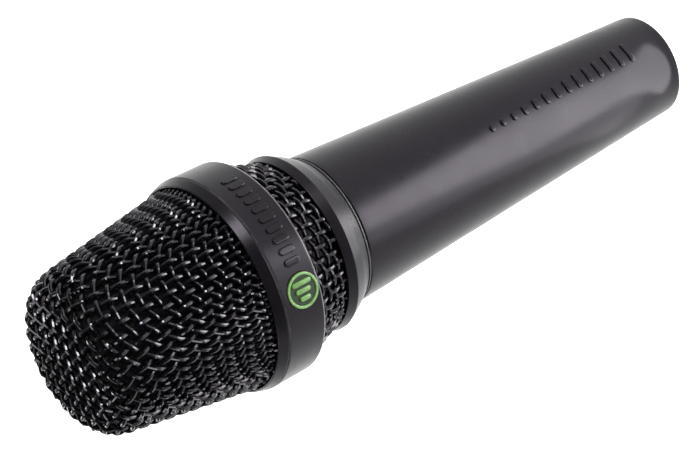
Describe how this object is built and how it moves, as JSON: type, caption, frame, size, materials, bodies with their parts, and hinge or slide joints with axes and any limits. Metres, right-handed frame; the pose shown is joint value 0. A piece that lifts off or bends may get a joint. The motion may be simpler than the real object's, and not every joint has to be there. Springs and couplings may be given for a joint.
{
  "type": "dynamic microphone",
  "caption": "Handheld vocal microphone: tapered metal handle, domed wire-mesh head with a broad band, slide switch and recessed pin socket in the end.",
  "frame": {"origin": "centre of the handle's flat end face, around the socket", "axes": "+Z along the microphone's axis from the handle's end to the head; the badge faces -Y and the switch faces +Y"},
  "size_m": [0.0512, 0.0516, 0.176],
  "materials": {
    "casting_black": "satin powder coat",
    "grille_wire": "gloss black",
    "badge_green": "satin enamel",
    "foam_black": "open-cell foam",
    "rubber_black": "matte",
    "plastic_black": "matte",
    "steel": "bright",
    "brass": "turned",
    "contact_silver": "plated",
    "magnet_metal": "nickel plate",
    "copper": "enamelled winding",
    "film": "thin film",
    "felt_grey": "felt",
    "board_green": "solder mask",
    "lead_red": "insulation",
    "lead_black": "insulation"
  },
  "bodies": {
    "handle": {"handle_tube": "casting_black", "neck_trim_ring": "plastic_black", "threaded_spigot": "brass", "switch_plate": "casting_black", "switch_body": "plastic_black", "switch_board": "board_green", "plate_screw_upper": "steel", "plate_screw_lower": "steel", "connector_shell": "steel", "connector_insulator": "plastic_black", "pin_1": "contact_silver", "pin_2": "contact_silver", "pin_3": "contact_silver", "connector_screw": "steel", "capsule_lead_hot": "lead_red", "capsule_lead_cold": "lead_black", "connector_lead_hot": "lead_red", "connector_lead_cold": "lead_black", "connector_lead_ground": "contact_silver", "capsule_post": "plastic_black", "shock_mount_lower": "rubber_black", "shock_mount_upper": "rubber_black"},
    "neck_seal": {"neck_oring": "rubber_black"},
    "head": {"front_grille": "grille_wire", "grille_rim": "steel", "retaining_ring": "casting_black", "head_band": "casting_black", "badge": "badge_green", "rear_grille": "grille_wire", "neck_collar": "casting_black", "front_foam": "foam_black", "rear_foam": "foam_black"},
    "capsule": {"capsule_housing": "plastic_black", "yoke_cup": "magnet_metal", "magnet": "magnet_metal", "pole_piece": "magnet_metal", "motor_holder": "plastic_black", "clamp_ring": "brass", "capsule_cap": "plastic_black", "damping_felt": "felt_grey", "terminal_board": "board_green"},
    "moving_coil": {"voice_coil": "copper", "diaphragm": "film"},
    "switch": {"switch_cap": "plastic_black"}
  },
  "joints": [
    {"name": "seal_lift", "type": "slide", "parent": "handle", "child": "neck_seal", "axis": [0, 0, 1], "range_m": [0, 0.0045]},
    {"name": "head_unscrew", "type": "hinge", "parent": "neck_seal", "child": "head", "pos_m": [0, 0, 0.11], "axis": [0, 0, 1], "range_deg": [0, 1080]},
    {"name": "capsule_float", "type": "slide", "parent": "handle", "child": "capsule", "axis": [0, 0, 1], "range_m": [-0.0008, 0.0008], "stiffness_N_per_m": 1200},
    {"name": "diaphragm_travel", "type": "slide", "parent": "capsule", "child": "moving_coil", "axis": [0, 0, 1], "range_m": [-0.0003, 0.0003], "stiffness_N_per_m": 100},
    {"name": "switch_slide", "type": "slide", "parent": "handle", "child": "switch", "axis": [0, 0.0517, 0.9987], "range_m": [0, 0.003]}
  ],
  "couplings": [
    {"joint": "seal_lift", "follows": "head_unscrew", "m_per_rad": 0.0002387}
  ]
}
